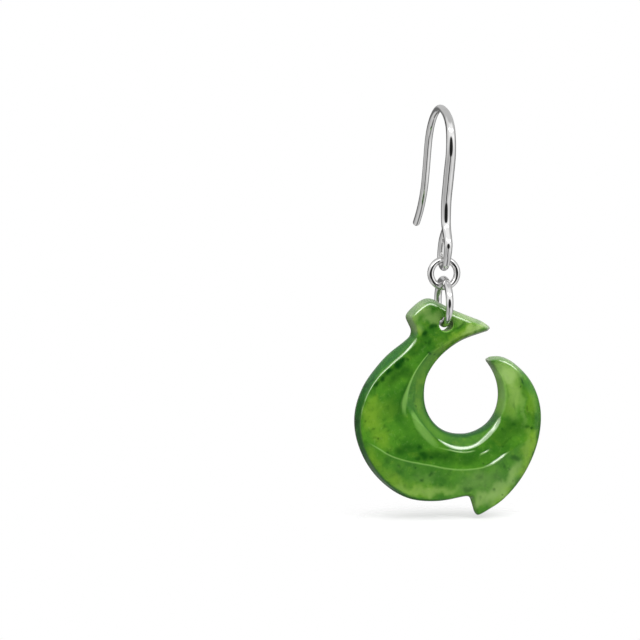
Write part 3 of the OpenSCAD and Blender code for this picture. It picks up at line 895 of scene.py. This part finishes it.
def drill(stone):
    # The drill turns about the hole's axis: radius against depth, with a cone at each mouth.
    r, chamfer, half = stone["holeRadius"], stone["chamfer"], stone["halfHead"]
    wide, end = r + 2 * chamfer, stone["drillReach"]
    depth = np.array([-end, -half - chamfer, -half + chamfer, half - chamfer, half + chamfer, end])
    radius = np.array([wide, wide, r, r, wide, wide])[:, None]
    a = np.linspace(0, 2 * np.pi, stone["drillSides"], endpoint=False)
    points = np.stack([radius * np.cos(a), depth[:, None] + 0 * a, radius * np.sin(a)], 2)
    poles = np.array([[0, -end, 0], [0, end, 0]])
    return surface("drill", holeAt + points, False, jade, holeAt + poles)


def facetShare(distance, angle, edge, stone):
    # 1 on an edge's facet and 0 off it. See edgeCut for where its two sides lie.
    wall, width, hollow, facet, steep, gentle = edgeSizes(angle, stone["halfCrown"], edge)
    middle = width + facet * (0.5 - gentle / steep)
    half = np.maximum(facet / 2, stone["leastFacet"])
    on = fadeOut(np.abs(distance - middle) / half, *stone["fades"]["facet"])
    return on * ease(facet / stone["facetStart"])


def waver(flat, sizes):
    # Pushes places about so that patches lose their even outlines: the sum over the sizes of
    # push times (sin p, cos 1.3 p), with p the heading plus 2 pi for each length along it.
    pushed = flat.copy()
    for heading, length, push in sizes:
        a = math.radians(heading)
        p = 2 * np.pi / length * (flat[:, 0] * math.cos(a) + flat[:, 1] * math.sin(a)) + heading
        pushed += push * np.stack([np.sin(p), np.cos(1.3 * p)], 1)
    return pushed


def patches(flat, clouds, fade):
    # The share that the clouds take together: 1 less the product of what each one leaves. A cloud
    # takes its percent at its middle, and less to nothing over the rim of its tilted ellipse.
    left = np.ones(len(flat))
    for right, up, halfLength, halfWidth, tilt, percent in clouds:
        a = math.radians(tilt)
        x, z = 100 * flat[:, 0] - right, 100 * flat[:, 1] - up
        lengthways = (x * math.cos(a) + z * math.sin(a)) / halfLength
        sideways = (z * math.cos(a) - x * math.sin(a)) / halfWidth
        left *= 1 - percent / 100 * fadeOut(np.hypot(lengthways, sideways), *fade)
    return 1 - left


def keepTones(mesh, stone, look):
    # Attributes at each point: "bevel", painted shade, and a painted grey sheen on the outer bevel,
    # "rim" and the painted sheen at the void's edge, painted highlights along the ridge, the facets
    # and strokes, painted shade and "streak" along strokes, "glint" on the facets and the ridge's
    # bright end, "bore" inside the hole, whose colour there is painted light, and one for each kind
    # of cloud.
    inner, outer = edgesOf(evenRibs(stone), stone)
    places = np.empty(len(mesh.vertices) * 3, np.float32)
    mesh.vertices.foreach_get("co", places)
    flat = (places.reshape(-1, 3) / mm - holeAt)[:, [0, 2]]
    x, z = (flat - np.array(stone["voidAt"])).T
    angle = np.degrees(np.arctan2(z, x))
    angle = np.where(angle < stone["firstAngle"], angle + 360, angle)
    toOuter, toInner = edgeDistance(flat, outer), edgeDistance(flat, inner)
    past = pastRidge(flat, angle, stone)
    shineAt, shineReach = stone["ridgeShine"]
    fades = stone["fades"]
    bevel = fadeOut(toOuter / along(angle, stone["outer"]["width"]), *fades["bevel"])
    outerSheen = bevel * along(angle, stone["outerSheen"])
    innerSheen = fadeOut(toInner, *fades["innerSheen"]) * along(angle, stone["innerSheen"])
    facets = facetShare(toOuter, angle, stone["outer"], stone)
    facets += facetShare(toInner, angle, stone["inner"], stone)
    # The ridge's line and the facets are lightened with painted highlight.
    ridgeHighlight = np.exp(-(past / stone["ridgeHighlightReach"]) ** 2) * along(angle, stone["ridgeTone"])
    shine = np.exp(-((past - shineAt) / shineReach) ** 4) * along(angle, stone["ridgeGlint"])
    pushed = waver(flat, look["waver"])
    share = look["deepWaver"]
    tones = {
        "bevel": bevel * along(angle, stone["bevelShadeTone"]),
        "rim": fadeOut(toInner, *fades["rim"]) * along(angle, stone["rimTone"]),
        "paintedHighlight": ridgeHighlight + stone["facetHighlight"] * facets,
        "paintedShade": 0 * angle,
        "glint": shine + stone["facetGlint"] * facets,
        "paintedSheen": outerSheen + innerSheen,
        "streak": 0 * angle,
        # Inside the hole: its colour is lightened there as painted light, and its roughness is raised.
        "bore": fadeOut(np.linalg.norm(flat, axis=1) - stone["holeRadius"], *fades["bore"]),
        "warm": patches(pushed, look["warmClouds"], fades["cloud"]),
        "pale": patches(pushed, look["paleClouds"], fades["cloud"]),
        "deep": patches((1 - share) * flat + share * pushed, look["deepClouds"], fades["cloud"]),
    }
    for name, at, half, tone in stone["strokes"]:
        off = (toInner - along(angle, at)) / along(angle, half)
        tones[name] += np.exp(-off ** 4) * along(angle, tone)
    for name, tone in tones.items():
        layer = mesh.attributes.new(name, "FLOAT", "POINT")
        layer.data.foreach_set("value", np.clip(tone, 0, 1).astype(np.float32))


def makePendant(stone):
    # The stone, drilled, with its tones.
    piece = stoneSurface(stone)
    fuse(piece, drill(stone), "DIFFERENCE")
    piece.data.set_sharp_from_angle(angle=math.radians(stone["sharpAngle"]))
    keepTones(piece.data, stone, stoneLook)
    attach(piece, "pendant")
    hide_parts("pendant")


makeEarWire(earWire)
print("ear wire made")
for ringName, ringSizes in rings.items():
    makeRing(ringName, ringSizes)
print("rings made")
makePendant(pendant)
print("pendant made")


# The studio: a pale sheet under the stone that fades into the white round it, soft lights, and a
# tent of paper. The tent's panels and cards lie by their bearings from the camera's own, in
# degrees, with the width over which their edges fade. Light is measured against white, and a card
# takes its strength's share of it.
studio = {
    "floorGap": 0.4, "floorHalf": 90, "floorMiddle": (1, -3), "floorFade": (5, 19), "floorShare": 0.6,
    "floorSockets": {"Base Color": (0.62, 0.62, 0.62, 1), "Roughness": 0.9, "Specular IOR Level": 0.0},
    "lightsAim": (0, 0, -8),
    "lights": {  # azimuth, elevation, distance, size and strength
        "top light": (20, 80, 420, (420, 340), 2.6),
        "front light": (4, 40, 480, (520, 260), 5),
        "back light": (176, 30, 480, (520, 260), 2.5),
    },
    "tentTone": 0.64, "groundTone": 0.74, "groundFrom": (-16, -34),
    "panels": {
        "front sheet": {"across": (-104, 84), "up": (-6, 56), "soft": 18, "strength": 0.3},
        "high sheet": {"across": (-50, 66), "up": (26, 62), "soft": 14, "strength": 0.25},
        "key strip": {"across": (-48, 66), "up": (24, 33), "soft": 4, "strength": 2.2},
        "right panel": {"across": (42, 92), "up": (-40, 14), "soft": 14, "strength": 0.3},
        "key glow": {"across": (-48, 66), "up": (8, 30), "soft": 10, "strength": 0.22},
    },
    "cards": {
        "camera card": {"across": (-38, 42), "up": (-30, 11), "round": 0.3, "strength": -0.97},
        "left low": {"across": (-120, -36), "up": (-44, -20), "soft": 14, "strength": -0.25},
        "low gap": {"aside": (-15, 6), "up": (-60, -24), "soft": 5, "strength": -0.92},
        "under gap": {"aside": (-4, 26), "up": (-91, -60), "soft": 12, "strength": -0.75},
        "back corner": {"across": (-138, -103), "up": (2, 22), "soft": 8, "strength": -0.8},
        "behind": {"facing": (-91, -30), "up": (-25, 13), "soft": 18, "strength": -0.72},
    },
}


def addFloor(setup):
    # A flat square, cut once each way, under the lowest point of the stone. It fades out with the
    # distance from its middle.
    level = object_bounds()[0].z / mm - setup["floorGap"]
    half = setup["floorHalf"]
    x, y = np.meshgrid([-half, 0, half], [-half, 0, half], indexing="ij")
    points = np.stack([x.ravel(), y.ravel(), np.full(9, level)], 1)
    corner = np.array([0, 1, 3, 4])
    quads = np.stack([corner, corner + 3, corner + 4, corner + 1], 1)
    mesh = bpy.data.meshes.new("floor")
    mesh.from_pydata((points * mm).tolist(), [], quads.tolist())
    material, shader, place = newMaterial("pale floor", setup["floorSockets"])
    middle = (*(step * mm for step in setup["floorMiddle"]), 0)
    flat = place.vector("MULTIPLY", place.vector("SUBTRACT", place, middle), (1, 1, 0))
    away = place.vector("LENGTH", flat, output=1)
    start, end = (bound * mm for bound in setup["floorFade"])
    feed(shader, "Alpha", away.fade(start, end, setup["floorShare"], 0.0))
    mesh.materials.append(material)
    floor = addObject("floor", mesh)
    floor.visible_glossy = False
    floor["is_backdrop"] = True


def addLight(name, light, aim):
    # A rectangle that faces the stone. Its power is strength times pi times its area. The tent
    # stands in for it in reflections.
    azimuth, elevation, far, size, strength = light
    towards = fromSide(azimuth, elevation)
    width, height = (side * mm for side in size)
    data = bpy.data.lights.new(name, "AREA")
    data.shape, data.size, data.size_y = "RECTANGLE", width, height
    data.energy = strength * math.pi * width * height
    lamp = addObject(name, data)
    lamp.location = (holeAt + np.array(aim) + far * towards) * mm
    lamp.rotation_mode = "QUATERNION"
    lamp.rotation_quaternion = Vector(towards).to_track_quat("Z", "Y")
    lamp.visible_glossy = False


def panelMask(bearings, panel):
    # The panel's strength inside it and 0 outside. One with a soft width is the product of the fades
    # at its bounds. A round one fades with the root of the sum of (2 (bearing - middle) / width)^2.
    sides = [(bearings[name], panel[name]) for name in bearings if name in panel]
    if "round" in panel:
        half = panel["round"] / 2
        one, other = (
            ((bearing - (low + high) / 2) * (2 / (high - low))) ** 2 for bearing, (low, high) in sides)
        mask = ((one + other) ** 0.5).fade(1 + half, 1 - half)
    else:
        half = panel["soft"] / 2
        one, other = (
            bearing.fade(low - half, low + half) * bearing.fade(high + half, high - half)
            for bearing, (low, high) in sides)
        mask = one * other
    return mask * panel["strength"]


def addTent(setup):
    # The world: white to the camera. To the pieces it is a tent with brighter panels, a paler
    # ground and dark cards. A direction's bearing across is the arc tangent of its shares to the
    # right of the camera and towards it, and its bearings aside, up and facing are the arc sines
    # of its shares to the right, up and towards it.
    world = bpy.data.worlds.new("tent")
    world.use_nodes = True
    bpy.context.scene.world = world
    tree = world.node_tree
    turn = bpy.context.scene.camera.matrix_world.to_3x3()
    direction = Flow(tree).node("ShaderNodeTexCoord", output="Generated")
    right, upward, back = (
        direction.vector("DOT_PRODUCT", direction, tuple(turn.col[i]), 1) for i in range(3))
    degrees = 180 / math.pi
    bearings = {"across": direction.math("ARCTAN2", right, back) * degrees}
    for name, part in (("aside", right), ("up", upward), ("facing", back)):
        bearings[name] = direction.math("ARCSINE", part) * degrees
    tone = bearings["up"].fade(*setup["groundFrom"], setup["tentTone"], setup["groundTone"])
    for panel in setup["panels"].values():
        tone = tone + panelMask(bearings, panel)
    for card in setup["cards"].values():
        tone = tone * (1 + panelMask(bearings, card))
    seen = direction.node("ShaderNodeLightPath", output="Is Camera Ray")
    total = tone * (1 - seen) + seen
    background = tree.nodes["Background"]
    background.inputs["Color"].default_value = (1, 1, 1, 1)
    tree.links.new(total.socket, background.inputs["Strength"])


addFloor(studio)
for lightName, lightSetup in studio["lights"].items():
    addLight(lightName, lightSetup, studio["lightsAim"])
addTent(studio)
bpy.context.scene.view_settings.view_transform = "Standard"
print("studio made")
